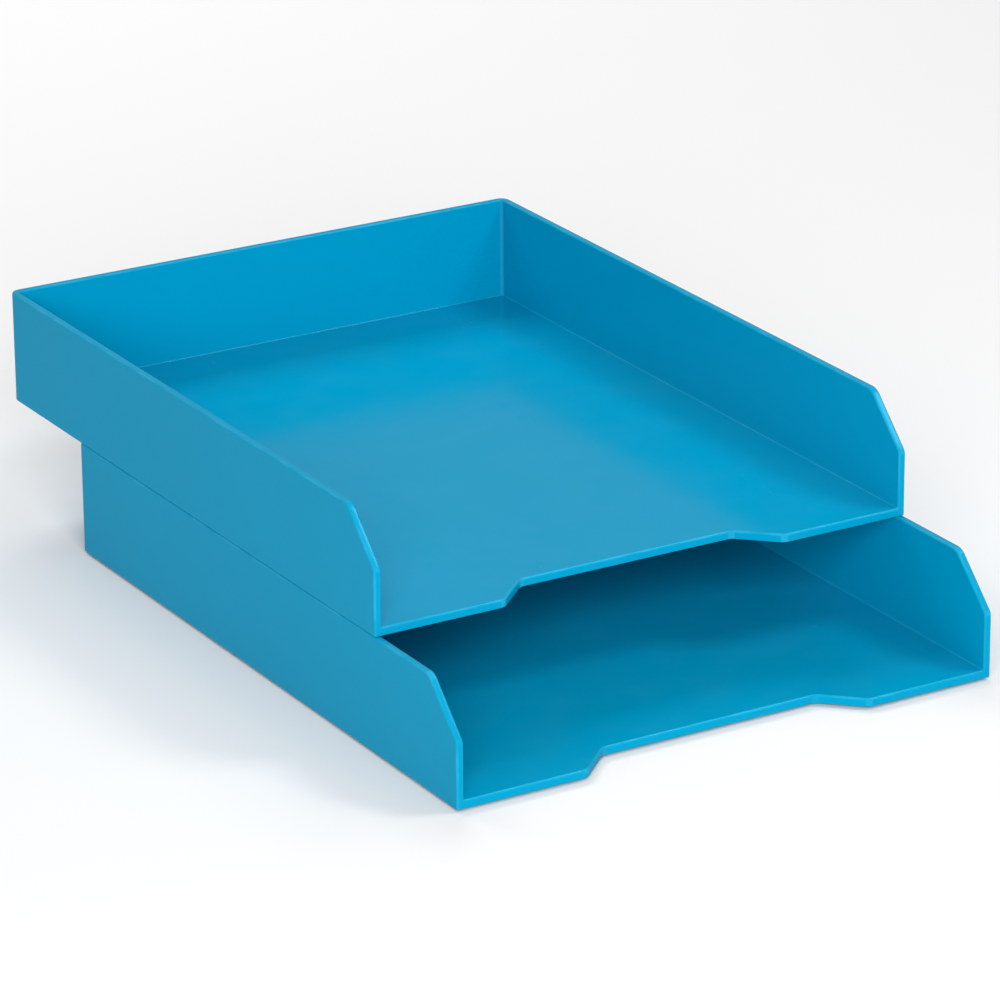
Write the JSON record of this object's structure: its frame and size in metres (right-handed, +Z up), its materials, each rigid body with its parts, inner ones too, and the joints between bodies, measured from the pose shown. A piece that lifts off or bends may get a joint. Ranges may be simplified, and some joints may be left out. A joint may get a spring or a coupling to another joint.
{
  "type": "letter tray",
  "caption": "Stacking letter trays with open slanted-corner fronts and finger scoops, the upper one resting on the lower one's rims and set back.",
  "frame": {"origin": "on the desk, under the middle of the pair's overall footprint", "axes": "+Y from the open fronts to the back, +Z up, +X to the right seen from the front"},
  "size_m": [0.248, 0.38, 0.0995],
  "materials": {
    "blue_plastic": "glossy moulded, solid cyan-blue all through",
    "foot_rubber": "matt dark grey, non-slip"
  },
  "bodies": {
    "lower": {"lower_tray": "blue_plastic", "lower_foot_front_left": "foot_rubber", "lower_foot_front_right": "foot_rubber", "lower_foot_back_left": "foot_rubber", "lower_foot_back_right": "foot_rubber"},
    "upper": {"upper_tray": "blue_plastic", "upper_foot_front_left": "foot_rubber", "upper_foot_front_right": "foot_rubber", "upper_foot_back_left": "foot_rubber", "upper_foot_back_right": "foot_rubber"}
  },
  "joints": [
    {"name": "upper_tray_lift", "type": "slide", "parent": "lower", "child": "upper", "axis": [0, 0, 1], "range_m": [0, 0.12]}
  ]
}
